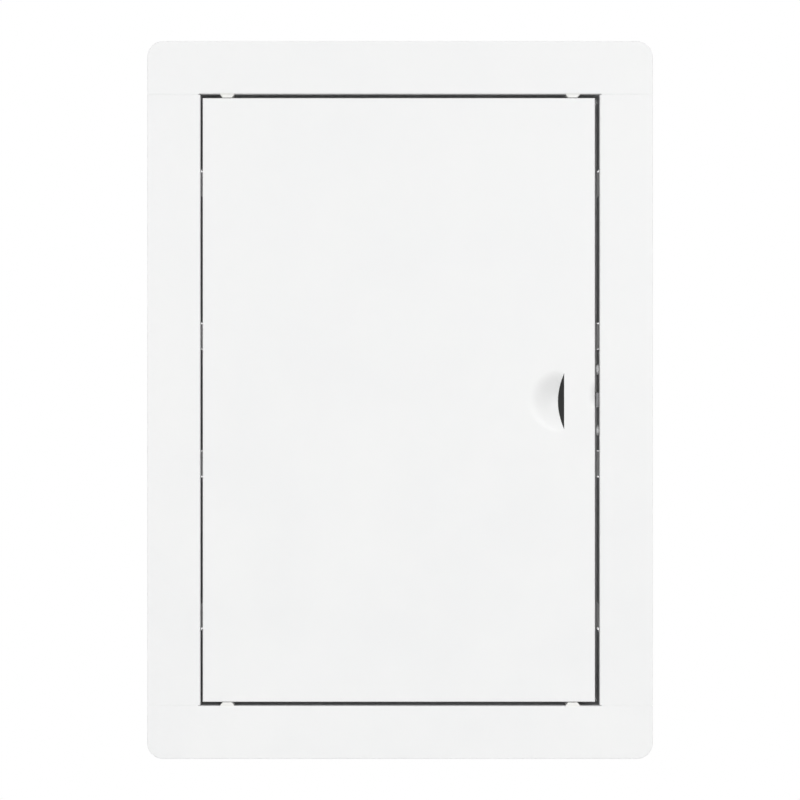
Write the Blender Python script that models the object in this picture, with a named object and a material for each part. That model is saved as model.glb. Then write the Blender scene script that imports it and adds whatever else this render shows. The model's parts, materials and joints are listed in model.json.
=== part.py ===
# Sheet-steel access door: a flanged frame let into an opening in a wall or ceiling, with a
# pan-shaped door hung on two pins at the left and held shut by a sprung nose at the right.
# Metres, +Z up. The door faces -Y. The origin is the centre of the opening, in the plane of
# the finished wall, which the back of the flange lies on.

import math

import bmesh
import bpy
from mathutils import Matrix, Vector

# Frame: clear opening, flange and collar, folded from sheet
OPENING_WIDTH = 0.188
OPENING_HEIGHT = 0.288
FRAME_SHEET = 0.0006
FLANGE_WIDTH = 0.025
FLANGE_CORNER_RADIUS = 0.0075
FLANGE_EDGE_ROUND = 0.0003
COLLAR_DEPTH = 0.028
COLLAR_LIP = 0.005
FOLD_RADIUS = 0.0001
SEAM_GAP = 0.0003
SEAT_GAP = 0.00025
RUNNING_GAP = 0.0002

# Fixing lugs, lanced in the side walls and bent out to grip the masonry
LUG_HEIGHTS = (-0.103, -0.0304, 0.0304, 0.103)
LUG_WIDTH = 0.0129
LUG_LENGTH = 0.0135
LUG_WINDOW_FRONT = 0.0038
LUG_RELIEF = 0.0006
LUG_SPREAD = math.radians(20.0)
LUG_TOOTH = 0.0015
LUG_TEETH = 3

# Cleats that tie the four strips together at the corners of the collar
CLEAT_LEG = 0.014
CLEAT_SHEET = 0.001
CLEAT_FRONT = 0.008
CLEAT_DEPTH = 0.013

# Door pan
DOOR_SHEET = 0.0006
DOOR_RETURN = 0.012
DOOR_FOLD_RADIUS = 0.0001
HINGE_SIDE_GAP = 0.00105
LATCH_SIDE_GAP = 0.00215
END_GAP = 0.0018

# Finger scoop pressed into the door, with its crescent slot
SCOOP_REACH = 0.0172
SCOOP_HALF_LENGTH = 0.0157
SCOOP_DEPTH = 0.0048
SCOOP_ROLL = 2.0
SCOOP_TAPER = 3.0
SLOT_HALF_LENGTH = 0.0133
SLOT_WIDTH = 0.0026
SCOOP_FROM_DOOR_EDGE = 0.01455
SCOOP_HEIGHT = -0.0006
SCOOP_SWEEP_STEPS = 24
SCOOP_RISE_STEPS = 9

# Hinge pins, bushes, clips and the stop studs on the other side
PIN_INSET = 0.0126
PIN_BEHIND_FACE = 0.004
PIN_RADIUS = 0.0015
PIN_HEAD_RADIUS = 0.00275
PIN_HEAD_HEIGHT = 0.0011
PIN_TAIL = 0.0022
BLOCK_HALF_BASE = 0.0033
BLOCK_HALF_TIP = 0.0022
BLOCK_BEHIND_FACE = 0.0002
BLOCK_ROUND = 0.0006
BUSH_WALL = 0.0006
CLIP_RADIUS = 0.0024
CLIP_SHEET = 0.0006
STUD_RADIUS = 0.0018
STUD_REACH = 0.003
STUD_HEAD_RADIUS = 0.0032
STUD_HEAD_HEIGHT = 0.0008
NOTCH_SIDE_GAP = 0.0008

# Spring catch on the latch side
CATCH_BEHIND_WALL_FACE = 0.0046
NOSE_WIDTH = 0.004
NOSE_HEIGHT = 0.007
NOSE_ENGAGEMENT = 0.0008
NOSE_SHOULDER = 0.0005
NOSE_SHOULDER_SHEET = 0.001
STRAP_WIDTH = 0.005
STRAP_SHEET = 0.0006
STRAP_RISE = 0.004
STRAP_BRIDGE = 0.016
STRAP_SLOPE = 0.0025
STRAP_FOOT = 0.0079
RIVET_SPACING = 0.0288
RIVET_RADIUS = 0.0012
RIVET_HEAD_RADIUS = 0.0027
RIVET_HEAD_HEIGHT = 0.0014
RIVET_TAIL_RADIUS = 0.0019
RIVET_TAIL_HEIGHT = 0.0009
SPRING_RADIUS = 0.0022
SPRING_WIRE = 0.00045
SPRING_TURNS = 3.0

# Facets
FOLD_STEPS = 3
CORNER_STEPS = 8
ROUND_STEPS = 24
SPRING_STEPS = 16
SPRING_SIDES = 6
SMOOTH_ANGLE = math.radians(32.0)

# Places worked out from the sizes above
HALF_WIDTH = OPENING_WIDTH / 2
HALF_HEIGHT = OPENING_HEIGHT / 2
FACE_Y = -FRAME_SHEET
FRONT_FOLD = FRAME_SHEET + FOLD_RADIUS
DOOR_LEFT = -HALF_WIDTH + HINGE_SIDE_GAP
DOOR_RIGHT = HALF_WIDTH - LATCH_SIDE_GAP
DOOR_HALF_HEIGHT = HALF_HEIGHT - END_GAP
DOOR_FOLD = DOOR_SHEET + DOOR_FOLD_RADIUS
PIN_X = HALF_WIDTH - PIN_INSET
PIN_Y = FACE_Y + PIN_BEHIND_FACE
LUG_WINDOW_REAR = LUG_WINDOW_FRONT + LUG_LENGTH
COLLAR_OUT = HALF_WIDTH + FRAME_SHEET
COLLAR_TOP = HALF_HEIGHT + FRAME_SHEET
BUSH_SPIGOT_RADIUS = PIN_RADIUS + RUNNING_GAP + BUSH_WALL
NOSE_TIP_X = DOOR_RIGHT - NOSE_ENGAGEMENT
STRAP_INNER_X = COLLAR_OUT + SEAT_GAP + STRAP_RISE


def clear_scene():
    for old in list(bpy.data.objects):
        bpy.data.objects.remove(old, do_unlink=True)


def finish(name, colour, roughness, metallic):
    """A plain material with the colour that the piece has."""
    material = bpy.data.materials.new(name)
    material.use_nodes = True
    shader = material.node_tree.nodes["Principled BSDF"]
    shader.inputs["Base Color"].default_value = (*colour, 1.0)
    shader.inputs["Roughness"].default_value = roughness
    shader.inputs["Metallic"].default_value = metallic
    return material


def object_of(name, shape, material):
    """Turns a bmesh into a named object of the scene."""
    mesh = bpy.data.meshes.new(name)
    shape.to_mesh(mesh)
    shape.free()
    piece = bpy.data.objects.new(name, mesh)
    bpy.context.scene.collection.objects.link(piece)
    mesh.materials.append(material)
    return piece


def settle(piece):
    """Replaces the mesh by what its modifiers make of it, and shades the round places smooth."""
    bpy.context.view_layer.update()
    graph = bpy.context.evaluated_depsgraph_get()
    mesh = bpy.data.meshes.new_from_object(piece.evaluated_get(graph))
    piece.modifiers.clear()
    piece.data = mesh
    mesh.shade_smooth()
    mesh.set_sharp_from_angle(angle=SMOOTH_ANGLE)
    return piece


def thickened(piece, thickness):
    """Gives a folded skin its sheet thickness, on the side away from its normals."""
    solidify = piece.modifiers.new("sheet", "SOLIDIFY")
    solidify.thickness = thickness
    solidify.offset = -1.0
    solidify.use_even_offset = True
    solidify.use_quality_normals = True
    return settle(piece)


def combine(piece, others, operation):
    """Cuts other solids out of the piece, or joins them to it, and then drops them."""
    for other in others:
        boolean = piece.modifiers.new("combine", "BOOLEAN")
        boolean.operation = operation
        boolean.solver = "EXACT"
        boolean.object = other
    settle(piece)
    for other in others:
        bpy.data.objects.remove(other, do_unlink=True)
    return piece


def cut(piece, cutters):
    return combine(piece, cutters, "DIFFERENCE")


def arc(centre, radius, start, end, steps):
    """Points on an arc, from the start angle to the end angle, ends included."""
    angles = [start + (end - start) * step / steps for step in range(steps + 1)]
    return [
        (centre[0] + radius * math.cos(a), centre[1] + radius * math.sin(a))
        for a in angles
    ]


def prism(name, outline, near, far, axes, material):
    """Extrudes a closed outline. axes names where its two coordinates and the length go."""
    shape = bmesh.new()
    first, second, length = ("XYZ".index(axis) for axis in axes)
    corners = []
    for a, b in outline:
        place = [0.0, 0.0, 0.0]
        place[first] = a
        place[second] = b
        place[length] = near
        corners.append(shape.verts.new(place))
    face = shape.faces.new(corners)
    grown = bmesh.ops.extrude_face_region(shape, geom=[face])
    moved = [item for item in grown["geom"] if isinstance(item, bmesh.types.BMVert)]
    reach = [0.0, 0.0, 0.0]
    reach[length] = far - near
    bmesh.ops.translate(shape, verts=moved, vec=reach)
    bmesh.ops.recalc_face_normals(shape, faces=shape.faces)
    return settle(object_of(name, shape, material))


def turned(name, outline, material):
    """Spins a profile of (radius, height) points round the piece's own Z axis."""
    shape = bmesh.new()
    points = [shape.verts.new((radius, 0.0, height)) for radius, height in outline]
    closes = outline[0][0] > 0.0 or outline[-1][0] > 0.0
    pairs = list(zip(points, points[1:] + points[:1] if closes else points[1:]))
    edges = [shape.edges.new(pair) for pair in pairs]
    bmesh.ops.spin(
        shape,
        geom=points + edges,
        cent=(0.0, 0.0, 0.0),
        axis=(0.0, 0.0, 1.0),
        angle=math.tau,
        steps=ROUND_STEPS,
        use_merge=True,
    )
    bmesh.ops.remove_doubles(shape, verts=shape.verts, dist=1e-7)
    bmesh.ops.recalc_face_normals(shape, faces=shape.faces)
    return settle(object_of(name, shape, material))


def along_z(radius, x, y, low, high):
    """A round cutter that stands upright."""
    outline = arc((x, y), radius, 0.0, math.tau, ROUND_STEPS)[:-1]
    return prism("cutter", outline, low, high, "XYZ", None)


def along_x(radius, y, z, low, high):
    """A round cutter that lies along X."""
    outline = arc((y, z), radius, 0.0, math.tau, ROUND_STEPS)[:-1]
    return prism("cutter", outline, low, high, "YZX", None)


def block(low, high):
    """A rectangular cutter between two corners."""
    outline = [(low[0], low[1]), (high[0], low[1]), (high[0], high[1]), (low[0], high[1])]
    return prism("cutter", outline, low[2], high[2], "XYZ", None)


def collar_profile(window_rows):
    """(y, out) points of a strip's skin from its front fold to the edge of its rear lip.

    out is 0 on the wall of the opening and grows outwards. The flange lies at out = FRONT_FOLD
    and beyond, and the lip at out below 0.
    """
    front_centre = (FACE_Y + FRONT_FOLD, FRONT_FOLD)
    rear_y = COLLAR_DEPTH - FRAME_SHEET
    rear_centre = (rear_y - FOLD_RADIUS, -FOLD_RADIUS)
    front = arc(front_centre, FRONT_FOLD, math.pi, math.pi * 1.5, FOLD_STEPS)
    rear = arc(rear_centre, FOLD_RADIUS, math.pi / 2, 0.0, FOLD_STEPS)
    return front + [(y, 0.0) for y in window_rows] + rear + [(rear_y, -COLLAR_LIP)]


def strip_grid(shape, profile, stations, wall_end, lip_end):
    """Rows of points along a strip. The rear lip is mitred, so that it clears the next one."""
    rows = []
    for y, out in profile:
        row = []
        for along in stations:
            if abs(along) >= wall_end:
                reach = wall_end if out >= 0.0 else lip_end + out
                along = math.copysign(reach, along)
            row.append(shape.verts.new((along, y, out)))
        rows.append(row)
    return rows


def stitch(shape, rows, left_out=()):
    """Fills the cells between rows of points, apart from the windows."""
    for r, (front, rear) in enumerate(zip(rows, rows[1:])):
        for c in range(len(front) - 1):
            if (r, c) not in left_out:
                shape.faces.new((front[c], rear[c], rear[c + 1], front[c + 1]))


def rail(name, material):
    """A strip across the whole frame: flange with round outer corners, wall, rear lip."""
    shape = bmesh.new()
    rows = strip_grid(
        shape,
        collar_profile(()),
        (-COLLAR_OUT, COLLAR_OUT),
        COLLAR_OUT,
        HALF_WIDTH - SEAM_GAP,
    )
    stitch(shape, rows)
    half = HALF_WIDTH + FLANGE_WIDTH
    centre = (half - FLANGE_CORNER_RADIUS, FLANGE_WIDTH - FLANGE_CORNER_RADIUS)
    corner = arc(centre, FLANGE_CORNER_RADIUS, 0.0, math.pi / 2, CORNER_STEPS)
    edge = [(COLLAR_OUT, 0.0), (half, 0.0)] + corner
    edge += [(-along, out) for along, out in reversed(edge)]
    flange = [shape.verts.new((along, FACE_Y, out)) for along, out in edge]
    shape.faces.new([rows[0][0], rows[0][-1]] + flange)
    bmesh.ops.recalc_face_normals(shape, faces=shape.faces)
    face_viewer(shape)
    piece = thickened(object_of(name, shape, material), FRAME_SHEET)
    round_flange_edge(piece, COLLAR_OUT)
    holes = [
        along_z(BUSH_SPIGOT_RADIUS + SEAT_GAP, x, PIN_Y, -FRAME_SHEET, 3 * FRAME_SHEET)
        for x in (-PIN_X, PIN_X)
    ]
    return cut(piece, holes)


def face_viewer(shape):
    """Turns all the faces of a skin so that the flat one at the front faces -Y."""
    shape.faces.ensure_lookup_table()
    front = max(shape.faces, key=lambda face: (face.normal.y ** 2 > 0.5) * face.calc_area())
    if front.normal.y > 0:
        bmesh.ops.reverse_faces(shape, faces=shape.faces)


def round_flange_edge(piece, side_reach):
    """Takes the sharpness off the outer edge of the flange, where the coating runs over it.

    The outer edge lies beyond the front fold or, along the strip, beyond side_reach.
    """
    shape = bmesh.new()
    shape.from_mesh(piece.data)
    near = FRAME_SHEET / 8

    def outer(vert):
        at_front = abs(vert.co.y - FACE_Y) < near
        return at_front and (vert.co.z > FRONT_FOLD + near or abs(vert.co.x) > side_reach + near)

    edges = [edge for edge in shape.edges if all(outer(vert) for vert in edge.verts)]
    bmesh.ops.bevel(
        shape,
        geom=edges,
        offset=FLANGE_EDGE_ROUND,
        segments=2,
        profile=0.5,
        affect="EDGES",
        clamp_overlap=True,
    )
    shape.to_mesh(piece.data)
    shape.free()


def lug(shape, root_low, root_high):
    """A tongue on the rear edge of its window, bent outwards, with teeth on its free end."""
    low = root_low.co.x
    high = root_high.co.x
    narrow_low = low + LUG_RELIEF
    narrow_high = high - LUG_RELIEF
    bend_y = LUG_WINDOW_REAR - LUG_RELIEF * math.cos(LUG_SPREAD / 2)
    bend_out = LUG_RELIEF * math.sin(LUG_SPREAD / 2)

    def at(along, run):
        y = bend_y - run * math.cos(LUG_SPREAD)
        return shape.verts.new((along, y, bend_out + run * math.sin(LUG_SPREAD)))

    bend_low = at(narrow_low, 0.0)
    bend_high = at(narrow_high, 0.0)
    shape.faces.new((bend_low, root_low, root_high, bend_high))
    reach = LUG_LENGTH - 2 * LUG_RELIEF
    tooth = (narrow_high - narrow_low) / LUG_TEETH
    tip = [at(narrow_low, reach - LUG_TOOTH)]
    for index in range(LUG_TEETH):
        tip.append(at(narrow_low + (index + 0.5) * tooth, reach))
        tip.append(at(narrow_low + (index + 1) * tooth, reach - LUG_TOOTH))
    shape.faces.new([bend_high] + tip[::-1] + [bend_low])


def stile(name, material):
    """A side strip between the two rails, with a window and a lug at each fixing height."""
    shape = bmesh.new()
    end = HALF_HEIGHT - SEAM_GAP
    sides = [height + side * LUG_WIDTH / 2 for height in LUG_HEIGHTS for side in (-1, 1)]
    stations = [-end] + sides + [end]
    windows = (LUG_WINDOW_FRONT, LUG_WINDOW_REAR)
    profile = [(FACE_Y, FLANGE_WIDTH)] + collar_profile(windows)
    rows = strip_grid(shape, profile, stations, end, HALF_HEIGHT - SEAM_GAP)
    window_row = profile.index((LUG_WINDOW_FRONT, 0.0))
    columns = range(1, len(stations) - 1, 2)
    stitch(shape, rows, {(window_row, column) for column in columns})
    for column in columns:
        lug(shape, rows[window_row + 1][column], rows[window_row + 1][column + 1])
    bmesh.ops.recalc_face_normals(shape, faces=shape.faces)
    face_viewer(shape)
    piece = thickened(object_of(name, shape, material), FRAME_SHEET)
    round_flange_edge(piece, HALF_HEIGHT)
    return piece


def place(piece, x, z, turn):
    """Turns a piece made for the top of the frame round the Y axis and sets it down."""
    piece.rotation_euler = (0.0, turn, 0.0)
    piece.location = (x, 0.0, z)
    return piece


def make_frame(coat):
    place(rail("frame_top_rail", coat), 0.0, HALF_HEIGHT, 0.0)
    place(rail("frame_bottom_rail", coat), 0.0, -HALF_HEIGHT, math.pi)
    place(stile("frame_hinge_stile", coat), -HALF_WIDTH, 0.0, -math.pi / 2)
    latch = place(stile("frame_latch_stile", coat), HALF_WIDTH, 0.0, math.pi / 2)
    reach = FRAME_SHEET + SEAT_GAP
    nose_slot = block(
        (HALF_WIDTH - reach, CATCH_BEHIND_WALL_FACE - NOSE_WIDTH / 2 - SEAT_GAP,
         -NOSE_HEIGHT / 2 - SEAT_GAP),
        (COLLAR_OUT + reach, CATCH_BEHIND_WALL_FACE + NOSE_WIDTH / 2 + SEAT_GAP,
         NOSE_HEIGHT / 2 + SEAT_GAP),
    )
    rivet_holes = [
        along_x(
            RIVET_RADIUS + SEAT_GAP,
            CATCH_BEHIND_WALL_FACE,
            side * RIVET_SPACING / 2,
            HALF_WIDTH - reach,
            COLLAR_OUT + reach,
        )
        for side in (-1, 1)
    ]
    cut(latch, [nose_slot] + rivet_holes)


def make_cleats(steel):
    """An angle outside each corner of the collar, spot-welded to the two walls."""
    inner_x = COLLAR_OUT + SEAT_GAP
    inner_z = COLLAR_TOP + SEAT_GAP
    for row, up in (("top", 1), ("bottom", -1)):
        for column, right in (("left", -1), ("right", 1)):
            centre = (inner_x - FOLD_RADIUS, inner_z - FOLD_RADIUS)
            inner = arc(centre, FOLD_RADIUS, 0.0, math.pi / 2, FOLD_STEPS)
            outer = arc(centre, FOLD_RADIUS + CLEAT_SHEET, math.pi / 2, 0.0, FOLD_STEPS)
            outline = [(inner_x, inner_z - CLEAT_LEG)] + inner
            outline += [(inner_x - CLEAT_LEG, inner_z)]
            outline += [(inner_x - CLEAT_LEG, inner_z + CLEAT_SHEET)] + outer
            outline += [(inner_x + CLEAT_SHEET, inner_z - CLEAT_LEG)]
            prism(
                f"corner_cleat_{row}_{column}",
                [(right * x, up * z) for x, z in outline],
                CLEAT_FRONT,
                CLEAT_FRONT + CLEAT_DEPTH,
                "XZY",
                steel,
            )


def scoop_point(line_x, step, share):
    """A point of the scoop, between its rim at share 0 and the lip of the slot at share 1."""
    angle = math.pi / 2 - math.pi * step / SCOOP_SWEEP_STEPS
    rim_x = -SCOOP_REACH * math.cos(angle)
    rim_z = SCOOP_HALF_LENGTH * math.sin(angle)
    lip_x = -SLOT_WIDTH * math.cos(angle) ** 2
    lip_z = SLOT_HALF_LENGTH * math.sin(angle)
    roll = math.sin(share * math.pi / 2) ** SCOOP_ROLL
    return (
        line_x + rim_x + (lip_x - rim_x) * share,
        FACE_Y + SCOOP_DEPTH * math.cos(angle) ** SCOOP_TAPER * roll,
        SCOOP_HEIGHT + rim_z + (lip_z - rim_z) * share,
    )


def scoop_rows(shape, line_x):
    """Rows of points from the rim of the scoop down to its lip, which leaves a crescent slot.

    The rim is half an ellipse on the left of the line. Each row starts and ends on the line.
    The lip is pushed back and to the left in between, so that a finger can reach behind it.
    """
    return [
        [
            shape.verts.new(scoop_point(line_x, step, rise / SCOOP_RISE_STEPS))
            for step in range(SCOOP_SWEEP_STEPS + 1)
        ]
        for rise in range(SCOOP_RISE_STEPS + 1)
    ]


def fold_back(shape, edge):
    """Folds the whole edge of the pan back along +Y. The returns meet at closed corners.

    Each entry of edge is a point of the flat and the way that the fold grows there.
    """
    profile = arc((0.0, DOOR_FOLD), DOOR_FOLD, -math.pi / 2, 0.0, FOLD_STEPS)[1:]
    profile.append((DOOR_FOLD, DOOR_RETURN))
    before = [point for point, outwards in edge]
    for out, back in profile:
        row = [
            shape.verts.new(point.co + Vector((side * out, back, up * out)))
            for point, (side, up) in edge
        ]
        for index, corner in enumerate(row):
            shape.faces.new((before[index - 1], before[index], corner, row[index - 1]))
        before = row


def make_door(coat):
    """A pan folded on four sides, with the pressed scoop, pivot holes, notches and catch slot."""
    shape = bmesh.new()
    line_x = DOOR_RIGHT - SCOOP_FROM_DOOR_EDGE
    left = DOOR_LEFT + DOOR_FOLD
    right = DOOR_RIGHT - DOOR_FOLD
    top = DOOR_HALF_HEIGHT - DOOR_FOLD

    def flat(x, z):
        return shape.verts.new((x, FACE_Y, z))

    rows = scoop_rows(shape, line_x)
    line = [row[-1] for row in rows] + [row[0] for row in reversed(rows)]
    top_left, top_line, top_right = flat(left, top), flat(line_x, top), flat(right, top)
    low_left, low_line, low_right = flat(left, -top), flat(line_x, -top), flat(right, -top)
    shape.faces.new([top_left, top_line] + rows[0] + [low_line, low_left])
    shape.faces.new([top_line, top_right, low_right, low_line] + line)
    stitch(shape, rows)
    edge = [(top_left, (-1, 1)), (top_line, (0, 1)), (top_right, (1, 1))]
    edge += [(low_right, (1, -1)), (low_line, (0, -1)), (low_left, (-1, -1))]
    fold_back(shape, edge)
    bmesh.ops.recalc_face_normals(shape, faces=shape.faces)
    face_viewer(shape)
    door = thickened(object_of("door_panel", shape, coat), DOOR_SHEET)
    cut(door, door_cutters())
    hang_on_axis(door)


def door_cutters():
    """Pivot holes on the left, stop notches open to the rear on the right, and the catch slot."""
    inside = DOOR_HALF_HEIGHT - 3 * DOOR_SHEET
    outside = DOOR_HALF_HEIGHT + DOOR_SHEET
    cutters = []
    for side in (-1, 1):
        low, high = sorted((side * inside, side * outside))
        cutters.append(along_z(PIN_RADIUS + RUNNING_GAP, -PIN_X, PIN_Y, low, high))
        notch = STUD_RADIUS + NOTCH_SIDE_GAP
        front = PIN_Y - STUD_RADIUS - SEAT_GAP + notch
        outline = arc((PIN_X, front), notch, math.pi, math.tau, ROUND_STEPS // 2)
        rear = FACE_Y + DOOR_RETURN + DOOR_SHEET
        outline += [(PIN_X + notch, rear), (PIN_X - notch, rear)]
        cutters.append(prism("cutter", outline, low, high, "XYZ", None))
    gap = SEAT_GAP * 2
    cutters.append(
        block(
            (DOOR_RIGHT - 3 * DOOR_SHEET, CATCH_BEHIND_WALL_FACE - NOSE_WIDTH / 2 - gap,
             -NOSE_HEIGHT / 2 - gap),
            (DOOR_RIGHT + DOOR_SHEET, CATCH_BEHIND_WALL_FACE + NOSE_WIDTH / 2 + gap,
             NOSE_HEIGHT / 2 + gap),
        )
    )
    return cutters


def hang_on_axis(piece):
    """Moves the door's origin to the hinge axis without moving the door."""
    axis = Vector((-PIN_X, PIN_Y, 0.0))
    piece.data.transform(Matrix.Translation(-axis))
    piece.location = axis


def at_both_ends(name, make, x):
    """Makes a piece for the top of the door, and one turned over for the bottom."""
    top = make(f"{name}_top")
    top.location = (x, PIN_Y, HALF_HEIGHT)
    bottom = make(f"{name}_bottom")
    bottom.location = (x, PIN_Y, -HALF_HEIGHT)
    bottom.rotation_euler = (0.0, math.pi, 0.0)


def gap_block(name, foot, material):
    """A tapered block that fills the gap above the door, with its flat front level with it.

    Heights count from the wall of the opening, and the piece's Z axis is the pin's.
    """
    front = FACE_Y + BLOCK_BEHIND_FACE + BLOCK_ROUND - PIN_Y
    shape = bmesh.new()
    rings = []
    for half, height in ((BLOCK_HALF_BASE, -SEAT_GAP), (BLOCK_HALF_TIP, foot)):
        side = half - BLOCK_ROUND
        outline = []
        for quarter, centre in enumerate(((side, side), (-side, side), (-side, front), (side, front))):
            start = quarter * math.pi / 2
            outline += arc(centre, BLOCK_ROUND, start, start + math.pi / 2, FOLD_STEPS)
        rings.append([shape.verts.new((x, y, height)) for x, y in outline])
    base, tip = rings
    for index in range(len(base)):
        shape.faces.new((base[index - 1], base[index], tip[index], tip[index - 1]))
    shape.faces.new(base)
    shape.faces.new(tip)
    bmesh.ops.recalc_face_normals(shape, faces=shape.faces)
    return settle(object_of(name, shape, material))


def make_hinge(steel, nylon, spring_steel):
    """Heights here count from the wall of the opening, and the door lies below it."""
    door_top = -END_GAP
    bush_foot = door_top + RUNNING_GAP
    bore = PIN_RADIUS + RUNNING_GAP
    outside = FRAME_SHEET + SEAT_GAP
    clip_top = door_top - DOOR_SHEET - RUNNING_GAP
    pin_end = clip_top - CLIP_SHEET - PIN_TAIL
    chamfer = PIN_RADIUS / 4

    def pin(name):
        head_top = outside + PIN_HEAD_HEIGHT
        outline = [
            (0.0, head_top),
            (PIN_HEAD_RADIUS - chamfer, head_top),
            (PIN_HEAD_RADIUS, head_top - chamfer),
            (PIN_HEAD_RADIUS, outside),
            (PIN_RADIUS, outside),
            (PIN_RADIUS, pin_end + chamfer),
            (PIN_RADIUS - chamfer, pin_end),
            (0.0, pin_end),
        ]
        return turned(name, outline, steel)

    def bush(name):
        spigot = along_z(BUSH_SPIGOT_RADIUS, 0.0, 0.0, -2 * SEAT_GAP, FRAME_SHEET)
        piece = combine(gap_block(name, bush_foot, nylon), [spigot], "UNION")
        return cut(piece, [along_z(bore, 0.0, 0.0, door_top, 2 * FRAME_SHEET)])

    def clip(name):
        grip = PIN_RADIUS + RUNNING_GAP / 2
        outline = [
            (grip, clip_top),
            (CLIP_RADIUS, clip_top),
            (CLIP_RADIUS, clip_top - CLIP_SHEET),
            (grip, clip_top - CLIP_SHEET),
        ]
        return turned(name, outline, spring_steel)

    at_both_ends("hinge_pin", pin, -PIN_X)
    at_both_ends("hinge_bush", bush, -PIN_X)
    at_both_ends("hinge_clip", clip, -PIN_X)


def make_stop_studs(nylon):
    """Headed studs that the closed door comes to rest against, through notches in its edge."""
    outside = FRAME_SHEET + SEAT_GAP
    head_top = outside + STUD_HEAD_HEIGHT
    foot = -END_GAP - DOOR_SHEET - STUD_REACH

    def stud(name):
        outline = [
            (0.0, head_top),
            (STUD_HEAD_RADIUS, head_top),
            (STUD_HEAD_RADIUS, outside),
            (BUSH_SPIGOT_RADIUS, outside),
            (BUSH_SPIGOT_RADIUS, -2 * SEAT_GAP),
            (STUD_RADIUS, -2 * SEAT_GAP),
            (STUD_RADIUS, foot + STUD_RADIUS / 3),
            (STUD_RADIUS * 2 / 3, foot),
            (0.0, foot),
        ]
        shaft = turned("shaft", outline, nylon)
        return combine(gap_block(name, -END_GAP + SEAT_GAP, nylon), [shaft], "UNION")

    at_both_ends("stop_stud", stud, PIN_X)


def make_catch(steel, coat, spring_steel, dark_steel):
    """A nose behind a riveted strap, pushed through the wall by a coil spring."""
    foot_x = COLLAR_OUT + SEAT_GAP
    bridge = STRAP_BRIDGE / 2
    knee = bridge + STRAP_SLOPE
    foot = knee + STRAP_FOOT
    inner = [(foot_x, -foot), (foot_x, -knee), (STRAP_INNER_X, -bridge)]
    inner += [(x, -z) for x, z in reversed(inner)]
    lift = STRAP_SHEET / math.cos(math.atan2(STRAP_RISE, STRAP_SLOPE) / 2)
    shift = lift * math.sin(math.atan2(STRAP_RISE, STRAP_SLOPE) / 2)
    outer = [
        (foot_x + STRAP_SHEET, -foot),
        (foot_x + STRAP_SHEET, -knee - shift),
        (STRAP_INNER_X + STRAP_SHEET, -bridge - shift),
    ]
    outer += [(x, -z) for x, z in reversed(outer)]
    near = CATCH_BEHIND_WALL_FACE - STRAP_WIDTH / 2
    far = CATCH_BEHIND_WALL_FACE + STRAP_WIDTH / 2
    strap = prism("catch_strap", inner + outer[::-1], near, far, "XZY", steel)
    holes = [
        along_x(
            RIVET_RADIUS + SEAT_GAP,
            CATCH_BEHIND_WALL_FACE,
            side * RIVET_SPACING / 2,
            foot_x - STRAP_SHEET,
            foot_x + 2 * STRAP_SHEET,
        )
        for side in (-1, 1)
    ]
    cut(strap, holes)
    for side, where in ((1, "upper"), (-1, "lower")):
        make_rivet(f"catch_rivet_{where}", side * RIVET_SPACING / 2, coat)
    shoulder_x = make_nose(dark_steel, foot_x)
    make_spring(spring_steel, shoulder_x + SEAT_GAP, STRAP_INNER_X - SEAT_GAP)


def make_rivet(name, z, coat):
    """A dome-headed rivet with its head on the door side of the wall."""
    tail_start = FRAME_SHEET + SEAT_GAP + STRAP_SHEET + SEAT_GAP
    tail_end = tail_start + RIVET_TAIL_HEIGHT
    dome_radius = (RIVET_HEAD_RADIUS**2 + RIVET_HEAD_HEIGHT**2) / (2 * RIVET_HEAD_HEIGHT)
    dome_centre = -SEAT_GAP - RIVET_HEAD_HEIGHT + dome_radius
    rim_angle = math.asin(RIVET_HEAD_RADIUS / dome_radius)
    dome = [
        (dome_radius * math.sin(rim_angle * step / CORNER_STEPS),
         dome_centre - dome_radius * math.cos(rim_angle * step / CORNER_STEPS))
        for step in range(CORNER_STEPS + 1)
    ]
    outline = dome + [
        (RIVET_RADIUS, -SEAT_GAP),
        (RIVET_RADIUS, tail_start),
        (RIVET_TAIL_RADIUS, tail_start),
        (RIVET_TAIL_RADIUS, tail_end),
        (0.0, tail_end),
    ]
    rivet = turned(name, outline, coat)
    rivet.rotation_euler = (0.0, math.pi / 2, 0.0)
    rivet.location = (HALF_WIDTH, CATCH_BEHIND_WALL_FACE, z)


def make_nose(steel, foot_x):
    """The sliding nose. Its origin is on its line of travel, and it returns its back face."""
    half = NOSE_WIDTH / 2
    tip_centre = NOSE_TIP_X + half
    shoulder = foot_x
    back = shoulder + NOSE_SHOULDER_SHEET
    outline = arc((tip_centre, 0.0), half, math.pi / 2, math.pi * 1.5, CORNER_STEPS)
    outline += [(shoulder, -half), (shoulder, -half - NOSE_SHOULDER)]
    outline += [(back, -half - NOSE_SHOULDER), (back, half + NOSE_SHOULDER)]
    outline += [(shoulder, half + NOSE_SHOULDER), (shoulder, half)]
    outline = [(x - HALF_WIDTH, y) for x, y in outline]
    nose = prism("catch_nose", outline, -NOSE_HEIGHT / 2, NOSE_HEIGHT / 2, "XYZ", steel)
    nose.location = (HALF_WIDTH, CATCH_BEHIND_WALL_FACE, 0.0)
    return back


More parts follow.
